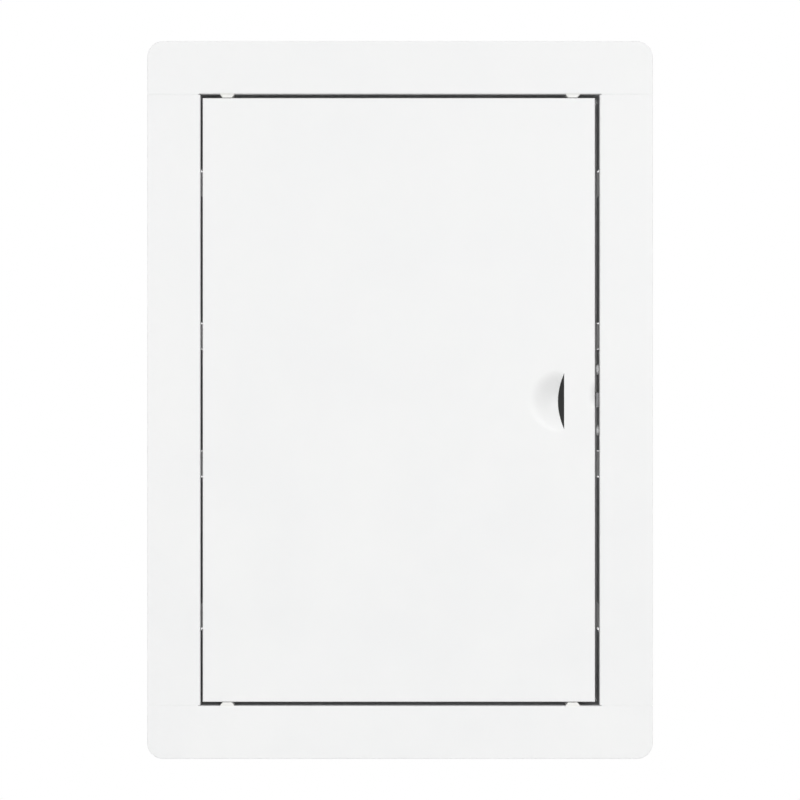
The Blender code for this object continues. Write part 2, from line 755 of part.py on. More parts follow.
def make_spring(steel, near, far):
    """A round wire wound into a short coil between the nose and the strap."""
    low = near + SPRING_WIRE / 2
    high = far - SPRING_WIRE / 2
    steps = int(SPRING_TURNS * SPRING_STEPS)
    shape = bmesh.new()
    rings = []
    for step in range(steps + 1):
        turn = math.tau * step / SPRING_STEPS
        outwards = Vector((0.0, math.cos(turn), math.sin(turn)))
        centre = outwards * SPRING_RADIUS
        centre.x = low + (high - low) * step / steps
        ring = []
        for side in range(SPRING_SIDES):
            angle = math.tau * side / SPRING_SIDES
            offset = outwards * math.cos(angle) + Vector((math.sin(angle), 0.0, 0.0))
            ring.append(shape.verts.new(centre + offset * SPRING_WIRE / 2))
        rings.append(ring)
    for ring, following in zip(rings, rings[1:]):
        for side in range(SPRING_SIDES):
            after = (side + 1) % SPRING_SIDES
            shape.faces.new((ring[side], ring[after], following[after], following[side]))
    shape.faces.new(rings[0][::-1])
    shape.faces.new(rings[-1])
    bmesh.ops.recalc_face_normals(shape, faces=shape.faces)
    spring = settle(object_of("catch_spring", shape, steel))
    spring.location = (0.0, CATCH_BEHIND_WALL_FACE, 0.0)


def main():
    clear_scene()
    coat = finish("white_powder_coat", (0.88, 0.885, 0.88), 0.42, 0.0)
    nylon = finish("white_nylon", (0.9, 0.9, 0.88), 0.5, 0.0)
    zinc = finish("zinc_plated_steel", (0.62, 0.63, 0.64), 0.35, 1.0)
    spring_steel = finish("spring_steel", (0.42, 0.42, 0.43), 0.3, 1.0)
    dark_steel = finish("phosphated_steel", (0.2, 0.2, 0.205), 0.45, 1.0)
    make_frame(coat)
    make_cleats(zinc)
    make_door(coat)
    make_hinge(zinc, nylon, spring_steel)
    make_stop_studs(nylon)
    make_catch(zinc, coat, spring_steel, dark_steel)


main()
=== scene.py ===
# %% [markdown]
# # A flush access door in white sheet steel
# The real object is a small inspection door: a flanged frame folded from sheet, a pan-shaped
# door on two pins, and a sprung nose that holds it shut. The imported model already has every
# rigid piece at its real size, so this lesson dresses it: finishes first, then the small
# forms that the solids leave out, then the camera, the light and the studio.

# %% Load the frame and keep its size
import json
import math

import bmesh
import bpy
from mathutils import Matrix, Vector


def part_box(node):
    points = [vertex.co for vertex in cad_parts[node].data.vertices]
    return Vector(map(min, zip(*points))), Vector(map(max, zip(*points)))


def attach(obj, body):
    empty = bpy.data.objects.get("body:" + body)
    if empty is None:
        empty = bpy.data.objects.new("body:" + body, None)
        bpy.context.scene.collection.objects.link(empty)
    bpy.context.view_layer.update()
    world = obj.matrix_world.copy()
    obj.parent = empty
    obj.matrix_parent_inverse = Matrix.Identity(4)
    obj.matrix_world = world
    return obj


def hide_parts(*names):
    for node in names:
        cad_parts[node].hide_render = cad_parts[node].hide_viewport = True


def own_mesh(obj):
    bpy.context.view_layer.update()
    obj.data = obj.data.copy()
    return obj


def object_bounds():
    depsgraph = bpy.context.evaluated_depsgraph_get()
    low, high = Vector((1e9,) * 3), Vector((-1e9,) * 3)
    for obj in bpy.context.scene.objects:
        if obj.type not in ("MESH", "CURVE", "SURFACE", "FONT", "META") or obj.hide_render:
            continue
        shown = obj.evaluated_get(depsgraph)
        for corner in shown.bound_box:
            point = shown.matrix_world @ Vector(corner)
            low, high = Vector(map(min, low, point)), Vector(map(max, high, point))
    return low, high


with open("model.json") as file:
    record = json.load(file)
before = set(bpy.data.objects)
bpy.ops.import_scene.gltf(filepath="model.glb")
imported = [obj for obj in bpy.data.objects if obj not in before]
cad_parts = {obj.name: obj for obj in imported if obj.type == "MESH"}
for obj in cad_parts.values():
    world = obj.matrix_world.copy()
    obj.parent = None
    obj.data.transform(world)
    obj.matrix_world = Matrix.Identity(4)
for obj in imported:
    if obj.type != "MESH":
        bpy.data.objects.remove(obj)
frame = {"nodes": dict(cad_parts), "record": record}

CAD_BOX = [list(corner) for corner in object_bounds()]
MM = 0.001
print("nodes:", len(frame["nodes"]))

# %% [markdown]
# ## Arithmetic on sockets
# A finish is a sum of small effects, and wiring each one by hand hides the idea behind the
# wiring. `Wire` wraps one output socket and lets plain Python arithmetic add the Math nodes,
# so that a mask can be written as `1 - spots * 0.2`. Colours don't go through Math, which
# would turn them grey. They are mixed by `Finish.blend`.

# %% A wrapper for sockets
class Wire:
    """One output socket of a node tree."""

    def __init__(self, tree, socket):
        self.tree = tree
        self.socket = socket

    def math(self, operation, first, second=None):
        node = self.tree.nodes.new("ShaderNodeMath")
        node.operation = operation
        for entry, value in zip(node.inputs, (first, second)):
            if value is not None:
                plug(self.tree, entry, value)
        return Wire(self.tree, node.outputs[0])

    def __add__(self, other):
        return self.math("ADD", self, other)

    def __sub__(self, other):
        return self.math("SUBTRACT", self, other)

    def __rsub__(self, other):
        return self.math("SUBTRACT", other, self)

    def __mul__(self, other):
        return self.math("MULTIPLY", self, other)

    __radd__ = __add__
    __rmul__ = __mul__

    def __abs__(self):
        return self.math("ABSOLUTE", self)

    def larger(self, other):
        """The larger of two values, which joins two masks."""
        return self.math("MAXIMUM", self, other)

    def smaller(self, other):
        """The smaller of two values."""
        return self.math("MINIMUM", self, other)

    def rounded(self):
        """The same ramp from 0 to 1, with both of its ends rounded off."""
        return self * self * (3.0 - self * 2.0)


def plug(tree, entry, value):
    """Links a wire to an input, or writes a plain value into it."""
    if isinstance(value, Wire):
        tree.links.new(value.socket, entry)
    else:
        entry.default_value = value


print("wire arithmetic: + - * with their reflected forms, and abs")

# %% [markdown]
# ## One method for every other node
# Noise, ramps and mixes aren't arithmetic. `Graph.node` adds any of them from its type, its
# settings and its inputs, and hands back a wire, so that the finishes below read as recipes.
# `Finish` adds a Principled shader, which suits coated metal, bare metal and plastic alike.

# %% A graph that adds nodes by name, and a material built on it
class Graph:
    """The node tree of a material or of the world."""

    def __init__(self, tree):
        self.tree = tree

    def node(self, kind, settings=None, inputs=None, output=0):
        """Adds a node, writes its settings first, then its inputs, and returns one output."""
        made = self.tree.nodes.new("ShaderNode" + kind)
        for key, value in (settings or {}).items():
            setattr(made, key, value)
        for key, value in (inputs or {}).items():
            plug(self.tree, made.inputs[key], value)
        return Wire(self.tree, made.outputs[output])

    def spread(self, value, low, high, to_low=0.0, to_high=1.0):
        """Maps low..high of a value to to_low..to_high, and stops at the ends."""
        inputs = {0: value, 1: low, 2: high, 3: to_low, 4: to_high}
        return self.node("MapRange", {"clamp": True}, inputs)

    def fade(self, value, full, gone):
        """One while a value is below `full`, falling to nought at `gone`."""
        return self.spread(value, full, gone, 1.0, 0.0)

    def ray_sees_backdrop(self):
        """One for rays from the camera, a mirror or glass, and nought for light itself."""
        seen = self.node("LightPath", output="Is Camera Ray")
        mirrored = self.node("LightPath", output="Is Glossy Ray")
        passed = self.node("LightPath", output="Is Transmission Ray")
        return seen.larger(mirrored.larger(passed))


class Finish(Graph):
    """A material with one Principled shader, built up from wires."""

    def __init__(self, name, roughness=0.5, metallic=0.0, ior=1.5):
        self.material = bpy.data.materials.new(name)
        self.material.use_nodes = True
        super().__init__(self.material.node_tree)
        self.shader = self.tree.nodes["Principled BSDF"]
        self.shader.inputs["Roughness"].default_value = roughness
        self.shader.inputs["Metallic"].default_value = metallic
        self.shader.inputs["IOR"].default_value = ior

    def place(self):
        """Places in metres, in the object's own frame."""
        return self.node("TexCoord", output="Object")

    def noise(self, size, detail=2.0, roughness=0.5, where=None):
        """Noise whose features are about `size` metres across, from 0 to 1."""
        inputs = {
            "Vector": where or self.place(),
            "Scale": 1.0 / size,
            "Detail": detail,
            "Roughness": roughness,
        }
        return self.node("TexNoise", inputs=inputs)

    def along(self, axis):
        """How far a place lies along one axis."""
        return self.node("SeparateXYZ", inputs={0: self.place()}, output=axis)

    def stretched(self, scale):
        """Places with each axis scaled, for grain that runs one way."""
        return self.node("Mapping", inputs={"Vector": self.place(), "Scale": scale})

    def blend(self, share, first, second):
        """Mixes two colours. The Mix node keeps its colours at sockets 6 and 7."""
        inputs = {0: share, 6: first, 7: second}
        return self.node("Mix", {"data_type": "RGBA"}, inputs, 2)

    def feed(self, socket, wire):
        """Links a wire to an input of the shader."""
        plug(self.tree, self.shader.inputs[socket], wire)

    def emboss(self, height, depth):
        """Turns a height from 0 to 1 into a relief of that many metres."""
        relief = self.node("Bump", inputs={"Height": height, "Distance": depth})
        self.feed("Normal", relief)

    def cover(self, share, shader):
        """Lays another shader over the Principled one where the share is 1."""
        base = self.shader.outputs[0]
        mixed = self.node("MixShader", inputs={0: share, 1: Wire(self.tree, base), 2: shader})
        surface = self.tree.nodes["Material Output"].inputs["Surface"]
        self.tree.links.new(mixed.socket, surface)


print("finish: noise, grain, ramps, colour mixes and relief")

# %% [markdown]
# ## White powder coating
# Powder is sprayed dry and melted in an oven. It flows out, but not quite level: the skin
# keeps an orange peel of ripples about a millimetre apart and a few micrometres deep, with a
# finer grain inside them. A flat white would look like paper. Here two sizes of noise make
# the relief, and a slower noise moves the gloss and the shade a little, as film thickness does.

# %% The coating
COAT_WHITE = (0.885, 0.888, 0.885, 1.0)
COAT_SHADE = (0.868, 0.872, 0.872, 1.0)
PEEL_SIZE = 1.3 * MM
GRAIN_SIZE = 0.35 * MM
CLOUD_SIZE = 45 * MM
PEEL_DEPTH = 0.012 * MM
PEEL_IN_RELIEF = 0.8
CLOUD_IN_GLOSS = 0.6
COAT_GLOSS = (0.36, 0.46)
MIDDLE_VALUES = (0.35, 0.65)
MOST_VALUES = (0.3, 0.7)


def coat_surface(coat, dent=None):
    """Gives the coating its relief and gloss, and returns its white, shaded by a slow cloud."""
    peel = coat.noise(PEEL_SIZE, detail=1.0)
    grain = coat.noise(GRAIN_SIZE, detail=1.0)
    cloud = coat.noise(CLOUD_SIZE, detail=3.0)
    film = cloud * CLOUD_IN_GLOSS + grain * (1.0 - CLOUD_IN_GLOSS)
    coat.feed("Roughness", coat.spread(film, *MIDDLE_VALUES, *COAT_GLOSS))
    relief = peel * PEEL_IN_RELIEF + grain * (1.0 - PEEL_IN_RELIEF)
    coat.emboss(relief if dent is None else relief + dent, PEEL_DEPTH)
    return coat.blend(coat.spread(cloud, *MIDDLE_VALUES), COAT_SHADE, COAT_WHITE)


def powder_coat(name):
    coat = Finish(name)
    coat.feed("Base Color", coat_surface(coat))
    return coat.material


WHITE_COAT = powder_coat("white_powder_coat_finish")
print("coating:", WHITE_COAT.name)

# %% [markdown]
# ## Nylon, zinc plate, spring steel and phosphate
# The bushes and studs are moulded nylon: matte, a little warmer than the coating, with a
# faint mould texture. The cleats, pins and strap are cold-rolled steel with bright zinc over
# it, so the rolling lines show through a cloudy plating. Wire and clips are drawn spring
# steel, darker, with fine lines along the drawing. The nose is phosphated and oiled: dark,
# with a fine crystal grain.

# %% The small parts' finishes
NYLON_TONES = ((0.86, 0.86, 0.83, 1.0), (0.9, 0.9, 0.88, 1.0))
NYLON_GRAIN = 0.18 * MM
NYLON_CLOUD = 2.5 * MM
NYLON_GLOSS = (0.44, 0.56)
NYLON_RELIEF = 0.006 * MM
NYLON_IOR = 1.53
ZINC_TONES = ((0.5, 0.51, 0.53, 1.0), (0.72, 0.73, 0.74, 1.0))
ZINC_LINES = 0.12 * MM
ZINC_CLOUD = 5 * MM
CLOUD_IN_ZINC = 0.7
ZINC_GLOSS = (0.26, 0.44)
ZINC_RELIEF = 0.003 * MM
ROLLED_ALONG_Y = (1.0, 0.04, 1.0)
SPRING_TONES = ((0.3, 0.3, 0.31, 1.0), (0.5, 0.5, 0.51, 1.0))
SPRING_LINES = 0.06 * MM
SPRING_GLOSS = (0.22, 0.36)
SPRING_RELIEF = 0.002 * MM
DRAWN_ACROSS_X = (1.0, 0.1, 0.1)
PHOSPHATE_TONES = ((0.15, 0.15, 0.155, 1.0), (0.23, 0.23, 0.235, 1.0))
PHOSPHATE_CRYSTAL = 0.08 * MM
PHOSPHATE_CLOUD = 1.5 * MM
PHOSPHATE_GLOSS = (0.4, 0.52)
PHOSPHATE_RELIEF = 0.003 * MM


def nylon(name):
    plastic = Finish(name, ior=NYLON_IOR)
    grain = plastic.noise(NYLON_GRAIN)
    cloud = plastic.noise(NYLON_CLOUD)
    plastic.feed("Base Color", plastic.blend(cloud, *NYLON_TONES))
    plastic.feed("Roughness", plastic.spread(grain, *MOST_VALUES, *NYLON_GLOSS))
    plastic.emboss(grain, NYLON_RELIEF)
    return plastic.material


def zinc_tones(zinc):
    """Rolling lines, the gloss of the cloudy plating over them, and its colour."""
    along_y = zinc.stretched(ROLLED_ALONG_Y)
    rolled = zinc.noise(ZINC_LINES, detail=3.0, roughness=0.6, where=along_y)
    cloud = zinc.noise(ZINC_CLOUD, detail=4.0, roughness=0.6)
    tone = cloud * CLOUD_IN_ZINC + rolled * (1.0 - CLOUD_IN_ZINC)
    gloss = zinc.spread(tone, *MOST_VALUES, *ZINC_GLOSS)
    return rolled, gloss, zinc.blend(tone, *ZINC_TONES)


def zinc_plate(name):
    zinc = Finish(name, metallic=1.0)
    rolled, gloss, plating = zinc_tones(zinc)
    zinc.feed("Base Color", plating)
    zinc.feed("Roughness", gloss)
    zinc.emboss(rolled, ZINC_RELIEF)
    return zinc.material


def spring_steel(name):
    steel = Finish(name, metallic=1.0)
    across_x = steel.stretched(DRAWN_ACROSS_X)
    drawn = steel.noise(SPRING_LINES, detail=3.0, roughness=0.6, where=across_x)
    steel.feed("Base Color", steel.blend(drawn, *SPRING_TONES))
    steel.feed("Roughness", steel.spread(drawn, *MOST_VALUES, *SPRING_GLOSS))
    steel.emboss(drawn, SPRING_RELIEF)
    return steel.material


def phosphate(name):
    dark = Finish(name, metallic=1.0)
    crystal = dark.noise(PHOSPHATE_CRYSTAL, roughness=0.7)
    cloud = dark.noise(PHOSPHATE_CLOUD)
    dark.feed("Base Color", dark.blend(cloud, *PHOSPHATE_TONES))
    dark.feed("Roughness", dark.spread(crystal, *MOST_VALUES, *PHOSPHATE_GLOSS))
    dark.emboss(crystal, PHOSPHATE_RELIEF)
    return dark.material


FINISHES = {
    "phosphated_steel": phosphate("phosphate_finish"),
    "white_powder_coat": WHITE_COAT,
    "white_nylon": nylon("white_nylon_finish"),
    "zinc_plated_steel": zinc_plate("zinc_plate_finish"),
    "spring_steel": spring_steel("spring_steel_finish"),
}
print("finishes:", sorted(FINISHES))

# %% [markdown]
# ## Painted shade in the gap
# Charged powder is drawn to the nearest metal, so little of it finds its way into a narrow
# channel. The collar's inner face and the door's returns stand two millimetres apart, and the
# coat is thin on both. The grey that the mask lays there is painted shade for the deep, narrow
# gap, and it stands for the thin coat too. The mask follows the depth behind the face, and
# a noise frays it, as a dusting of powder frays.

# %% The frame's coating, with painted shade in the gap
FLANGE_WIDTH = 25 * MM
GAP_SHADE_GREY = (0.36, 0.36, 0.37, 1.0)
GAP_SHADE_START = 0.2 * MM
GAP_SHADE_FULL = 2.5 * MM
GAP_SHADE_FADE = 12 * MM
GAP_SHADE_END = 22 * MM
GAP_SHADE_SHARE = 0.85
SHEET_INSIDE = 0.3 * MM
MASK_SOFT = 0.1 * MM
FRAY_SIZE = 1.8 * MM
FRAY_REACH = 4 * MM
FRAY_AT_FACE = 0.2


def gap_shade_in_depth(coat):
    """Where shade is painted: one in the depth of the gap, nought on the faces in front of it and
    behind it.
    """
    fray = (coat.noise(FRAY_SIZE, detail=3.0) - 0.5) * FRAY_REACH
    depth = coat.along("Y")
    starts = coat.spread(depth + fray * FRAY_AT_FACE, GAP_SHADE_START, GAP_SHADE_FULL)
    ends = coat.fade(depth + fray, GAP_SHADE_FADE, GAP_SHADE_END)
    return starts * ends


def within(coat, axis, half):
    """One where a place is nearer to the middle than `half` along this axis."""
    return coat.fade(abs(coat.along(axis)), half - MASK_SOFT, half + MASK_SOFT)


def frame_coat(name):
    coat = Finish(name)
    white = coat_surface(coat)
    half_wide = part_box("frame_latch_stile")[1].x - FLANGE_WIDTH
    half_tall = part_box("frame_top_rail")[1].z - FLANGE_WIDTH
    sides = within(coat, "X", half_wide + SHEET_INSIDE)
    ends = within(coat, "Z", half_tall + SHEET_INSIDE)
    # painted shade: the coat greys in the depth of the gap, where shade falls
    gap_shade = sides * ends * gap_shade_in_depth(coat) * GAP_SHADE_SHARE
    coat.feed("Base Color", coat.blend(gap_shade, white, GAP_SHADE_GREY))
    return coat.material


FRAME_COAT = frame_coat("frame_coat_finish")
print("frame coating:", FRAME_COAT.name)

# %% [markdown]
# ## The door's dented edge
# Where the nose strikes it, the edge of the real door is pushed back a little, and a soft shade
# about fifteen millimetres tall lies there. The solid keeps its true straight edge. The dent goes
# into the door's own copy of the coating as a broad relief, and painted shade greys the white of
# the coating in the same place. The returns have the painted shade of the gap.

# %% The door's coating
DENT_HEIGHT = 2.2 * MM
DENT_HALF = 7 * MM
DENT_FLAT = 0.2
DENT_REACH = 4.5 * MM
DENT_DEPTH = 0.9 * MM
DENT_SHADE_GREY = (0.6, 0.6, 0.61, 1.0)
DENT_SHADE_SHARE = 0.35
RIM_WIDTH = 1.2 * MM
RIM_FULL = 0.96 * MM


def door_dent(coat, edge_x):
    """One where the nose strikes the edge, falling softly to nought around it."""
    towards_edge = coat.spread(coat.along("X"), edge_x - DENT_REACH, edge_x)
    beside = abs((coat.along("Z") - DENT_HEIGHT) * (1.0 / DENT_HALF))
    tall = coat.fade(beside, DENT_FLAT, 1.0)
    return towards_edge * towards_edge * tall.rounded()


def door_rim(coat, low, high):
    """One on the returns of the pan, and nought on its flat face."""
    left = coat.spread(coat.along("X"), low.x + RIM_WIDTH, low.x + RIM_FULL)
    right = coat.spread(coat.along("X"), high.x - RIM_WIDTH, high.x - RIM_FULL)
    ends = 1.0 - within(coat, "Z", high.z - RIM_WIDTH)
    return left.larger(right.larger(ends))


def door_coat(name):
    coat = Finish(name)
    low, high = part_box("door_panel")
    dent = door_dent(coat, high.x)
    white = coat_surface(coat, dent * (-DENT_DEPTH / PEEL_DEPTH))
    # painted shade: the coat greys over the dent, where the edge turns away from the light
    dent_shaded = coat.blend(dent * DENT_SHADE_SHARE, white, DENT_SHADE_GREY)
    # painted shade on the door's returns, in the depth of the gap
    gap_shade = door_rim(coat, low, high) * gap_shade_in_depth(coat) * GAP_SHADE_SHARE
    coat.feed("Base Color", coat.blend(gap_shade, dent_shaded, GAP_SHADE_GREY))
    return coat.material


DOOR_COAT = door_coat("door_coat_finish")
print("door coating:", DOOR_COAT.name)

# %% [markdown]
# ## Weld marks on the corner cleats
# Each leg of a cleat is spot-welded to the collar. The electrode leaves a shallow round pit,
# and its heat burns the zinc round it to a dull brownish grey. All four cleats mirror one
# another, so one pair of places with positive coordinates serves them all.

# %% The cleats' finish
WELD_PIT = 1.5 * MM
WELD_RIM = 0.35 * MM
WELD_DEPTH = 0.08 * MM
BURN_REACH = 3.2 * MM
BURN_GREY = (0.3, 0.285, 0.27, 1.0)
BURN_SHARE = 0.7
BURN_ROUGHER = 0.25
BURN_FRAY_SIZE = 1.2 * MM
BURN_FRAY_REACH = 0.5 * MM
LINES_IN_PIT = 0.04
WELD_FROM_CORNER = 8.5 * MM


def weld_distance(zinc):
    """How far a place is from the nearer of the two welds of its cleat."""
    low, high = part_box("corner_cleat_top_right")
    depth = (low.y + high.y) / 2
    on_stile = (high.x, depth, high.z - WELD_FROM_CORNER)
    on_rail = (high.x - WELD_FROM_CORNER, depth, high.z)
    mirrored = zinc.node("VectorMath", {"operation": "ABSOLUTE"}, {0: zinc.place()})
    first, second = (
        zinc.node("VectorMath", {"operation": "DISTANCE"}, {0: mirrored, 1: weld}, "Value")
        for weld in (on_stile, on_rail)
    )
    return first.smaller(second)


def welded_zinc(name):
    zinc = Finish(name, metallic=1.0)
    rolled, gloss, plating = zinc_tones(zinc)
    fray = (zinc.noise(BURN_FRAY_SIZE) - 0.5) * BURN_FRAY_REACH
    away = weld_distance(zinc) + fray
    burnt = zinc.fade(away, WELD_PIT, BURN_REACH)
    outside = zinc.spread(away, WELD_PIT - WELD_RIM, WELD_PIT)
    zinc.feed("Base Color", zinc.blend(burnt * BURN_SHARE, plating, BURN_GREY))
    zinc.feed("Roughness", gloss + burnt * BURN_ROUGHER)
    zinc.emboss(outside + rolled * LINES_IN_PIT, WELD_DEPTH)
    return zinc.material


WELDED_ZINC = welded_zinc("welded_zinc_finish")
print("cleats' finish:", WELDED_ZINC.name)

# %% [markdown]
# ## Dressing the solids
# The solids have true folds and thickness, but every sheared edge is a perfect corner, and a
# perfect corner never catches light. A real coated edge is round to about a tenth of a
# millimetre. A Bevel modifier on the welded mesh gives that without touching the mesh itself.
# The pressed scoop and the folds are made of narrow flats. A small node group shades them as
# one curve, and the Weighted Normal modifier keeps the large flats beside them truly flat.

# %% Finishes and soft edges on the carried-over nodes
EDGE_ROUND = 0.12 * MM
EDGE_STEPS = 2
EDGE_ANGLE = math.radians(40)
MERGE_REACH = 0.001 * MM
SLOT_OF = {row["node"]: row["material_slot"] for row in frame["record"]["subparts"]}


def smooth_group():
    """A node group that shades a mesh smooth, but keeps its corners."""
    group = bpy.data.node_groups.new("smooth_curves", "GeometryNodeTree")
    for way in ("INPUT", "OUTPUT"):
        group.interface.new_socket("Geometry", in_out=way, socket_type="NodeSocketGeometry")
    entry = group.nodes.new("NodeGroupInput")
    faces = group.nodes.new("GeometryNodeSetShadeSmooth")
    edges = group.nodes.new("GeometryNodeSetShadeSmooth")
    edges.domain = "EDGE"
    bend = group.nodes.new("GeometryNodeInputMeshEdgeAngle")
    gentle = group.nodes.new("FunctionNodeCompare")
    gentle.operation = "LESS_THAN"
    gentle.inputs[1].default_value = EDGE_ANGLE
    leave = group.nodes.new("NodeGroupOutput")
    for source, entrance in (
        (entry.outputs[0], faces.inputs["Geometry"]),
        (faces.outputs[0], edges.inputs["Geometry"]),
        (bend.outputs["Unsigned Angle"], gentle.inputs[0]),
        (gentle.outputs[0], edges.inputs["Shade Smooth"]),
        (edges.outputs[0], leave.inputs[0]),
    ):
        group.links.new(source, entrance)
    return group


def soften(piece, width, curves):
    """Rounds the corners of a piece and shades its curves, by modifiers alone."""
    weld = piece.modifiers.new("weld", "WELD")
    weld.merge_threshold = MERGE_REACH
    bevel = piece.modifiers.new("soft_edge", "BEVEL")
    bevel.width = width
    bevel.segments = EDGE_STEPS
    bevel.limit_method = "ANGLE"
    bevel.angle_limit = EDGE_ANGLE
    bevel.use_clamp_overlap = True
    bevel.harden_normals = False
    piece.modifiers.new("smooth_curves", "NODES").node_group = curves
    piece.modifiers.new("flat_faces", "WEIGHTED_NORMAL").keep_sharp = True


FRAME_STRIPS = ("frame_top_rail", "frame_bottom_rail", "frame_hinge_stile", "frame_latch_stile")
OWN_FINISH = {"door_panel": DOOR_COAT, **{name: FRAME_COAT for name in FRAME_STRIPS}}
OWN_FINISH.update({name: WELDED_ZINC for name in SLOT_OF if name.startswith("corner_cleat")})
CURVES = smooth_group()
for name, piece in frame["nodes"].items():
    piece.data.materials.clear()
    piece.data.materials.append(OWN_FINISH.get(name) or FINISHES[SLOT_OF[name]])
    soften(piece, EDGE_ROUND, CURVES)
print("dressed", len(SLOT_OF), "nodes")

# %% [markdown]
# ## Small forms from rings
# The forms that the scene adds are all drawn the same way: one closed outline is placed again
# and again along a path, and a skin joins each ring to the next. The ends are closed, so that
# every form is a solid body. It rides on the body of the mechanism that it belongs to.

# %% Skinning rings, and handing a piece over
def skin(shape, rings):
    """Joins closed rings of vertices into one closed body."""
    for before, after in zip(rings, rings[1:]):
        for index in range(len(before)):
            shape.faces.new((before[index - 1], before[index], after[index], after[index - 1]))
    shape.faces.new(rings[0])
    shape.faces.new(rings[-1])
    bmesh.ops.recalc_face_normals(shape, faces=shape.faces)


def body_piece(name, shape, body, slot):
    """Turns a bmesh into a piece of the scene that rides on a body."""
    mesh = bpy.data.meshes.new(name)
    shape.to_mesh(mesh)
    shape.free()
    mesh.shade_smooth()
    mesh.set_sharp_from_angle(angle=EDGE_ANGLE)
    mesh.materials.append(FINISHES[slot])
    piece = bpy.data.objects.new(name, mesh)
    bpy.context.scene.collection.objects.link(piece)
    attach(piece, body)
    return piece


print("corners above", round(math.degrees(EDGE_ANGLE)), "degrees stay sharp")

# %% [markdown]
# ## Coating in the seams
# Each side flange meets the top and bottom ones in a butt joint. On the real frame the powder
# flows into the joint, so the photograph shows no dark slit there, only a faint groove. The
# solids keep a real gap of 0.3 mm, and a thin bead with a hollow face fills it here.

# %% The beads in the four seams
SEAM_GAP = 0.3 * MM
BEAD_BACK = 0.6 * MM
BEAD_STEPS = 24
BEAD_FROM_FOLD = 1.0 * MM
BEAD_FROM_RIM = 0.4 * MM
BEAD_HOLLOW_MM = ((0.0, 0.01), (0.25, 0.04), (0.5, 0.05), (0.75, 0.04), (1.0, 0.01))
BEAD_WAVE_MM = 0.008
BEAD_WAVE_TURN = 1.9


def seam_bead(name, side, up):
    """A strip across the flange. Its face is hollow, and waves slightly along its length."""
    stile_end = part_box("frame_latch_stile")[1].z
    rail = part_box("frame_top_rail")
    start = rail[1].x - FLANGE_WIDTH + BEAD_FROM_FOLD
    end = rail[1].x - BEAD_FROM_RIM
    front = rail[0].y
    shape = bmesh.new()
    rings = []
    for step in range(BEAD_STEPS + 1):
        x = start + (end - start) * step / BEAD_STEPS
        wave = BEAD_WAVE_MM * math.sin(step * BEAD_WAVE_TURN + side + 2 * up)
        outline = [(share, front + (hollow + wave) * MM) for share, hollow in BEAD_HOLLOW_MM]
        outline += [(1.0, front + BEAD_BACK), (0.0, front + BEAD_BACK)]
        rings.append([
            shape.verts.new((side * x, y, up * (stile_end + SEAM_GAP * share)))
            for share, y in outline
        ])
    skin(shape, rings)
    return body_piece(name, shape, "frame", "white_powder_coat")


for side, column in ((-1, "left"), (1, "right")):
    for up, row in ((-1, "bottom"), (1, "top")):
        bead = seam_bead(f"coating_in_seam_{row}_{column}", side, up)
        print(bead.name, "vertices:", len(bead.data.vertices))

# %% [markdown]
# ## The lips of the four nubs
# A moulded nub hugs the rounded fold of the rail, so that in the photograph it runs into the
# flange without a line. The solids keep a gap of a quarter of a millimetre between nub and
# sheet. A small wedge closes it: its back follows the fold, its face is level with the
# flange at the top and with the nub's own face at the bottom.

# %% A wedge between the fold and each nub
FOLD_OUTSIDE = 0.7 * MM
LIP_CLEARANCE = 0.02 * MM
LIP_RECESS = 0.03 * MM
LIP_STEPS = 6
LIP_FOOT = 0.23 * MM
LIP_DEEP = 0.95 * MM
LIP_END_ROUND = 0.25 * MM
LIP_STATIONS = ((0.0, 0.5), (0.3, 0.85), (1.0, 1.0))


def lip_profile(face_y, nub_y, wall):
    """(y, up) points of the wedge: the back along the fold, then the foot and the face."""
    reach = FOLD_OUTSIDE + LIP_CLEARANCE
    start = math.pi + math.acos((FOLD_OUTSIDE - LIP_RECESS) / reach)
    points = []
    for step in range(LIP_STEPS + 1):
        angle = start + (math.pi * 1.5 - start) * step / LIP_STEPS
        y = face_y + FOLD_OUTSIDE + reach * math.cos(angle)
        points.append((y, wall + FOLD_OUTSIDE + reach * math.sin(angle)))
    points.append((face_y + LIP_DEEP, wall - LIP_CLEARANCE))
    points.append((face_y + LIP_DEEP, wall - LIP_FOOT))
    points.append((nub_y, wall - LIP_FOOT))
    return points


def nub_lip(name, nub, up):
    """A wedge as wide as its nub, whose section shrinks at both ends."""
    low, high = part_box(nub)
    rail_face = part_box("frame_top_rail")[0].y
    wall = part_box("frame_latch_stile")[1].z + SEAM_GAP
    profile = lip_profile(rail_face, low.y, wall)
    anchor = profile[LIP_STEPS]
    stations = [(low.x + LIP_END_ROUND * away, share) for away, share in LIP_STATIONS]
    stations += [(high.x - LIP_END_ROUND * away, share) for away, share in LIP_STATIONS[::-1]]
    shape = bmesh.new()
    rings = [
        [
            shape.verts.new((
                x,
                anchor[0] + (y - anchor[0]) * share,
                up * (anchor[1] + (z - anchor[1]) * share),
            ))
            for y, z in profile
        ]
        for x, share in stations
    ]
    skin(shape, rings)
    return body_piece(name, shape, "frame", "white_nylon")


for nub, column in (("hinge_bush", "left"), ("stop_stud", "right")):
    for up, row in ((-1, "bottom"), (1, "top")):
        lip = nub_lip(f"nub_lip_{row}_{column}", f"{nub}_{row}", up)
        print(lip.name, "vertices:", len(lip.data.vertices))

# %% [markdown]
# ## The spring of the catch
# The solid spring is an even coil of six-sided wire, and it keeps its length. A real
# compression spring is round wire whose end turns are wound close, so that it stands square
# on the nose and in the strap. This one follows that winding. How much of its length is left
# when the nose is pushed back is worked out too.

# %% A coil with closed ends, and how far the catch would squash it
COIL_TURNS = 3
COIL_STEPS = 40
COIL_SIDES = 10
COIL_WIRE = 0.45 * MM
END_CLOSING = 0.75
NOSE_TRAVEL = 1.3 * MM


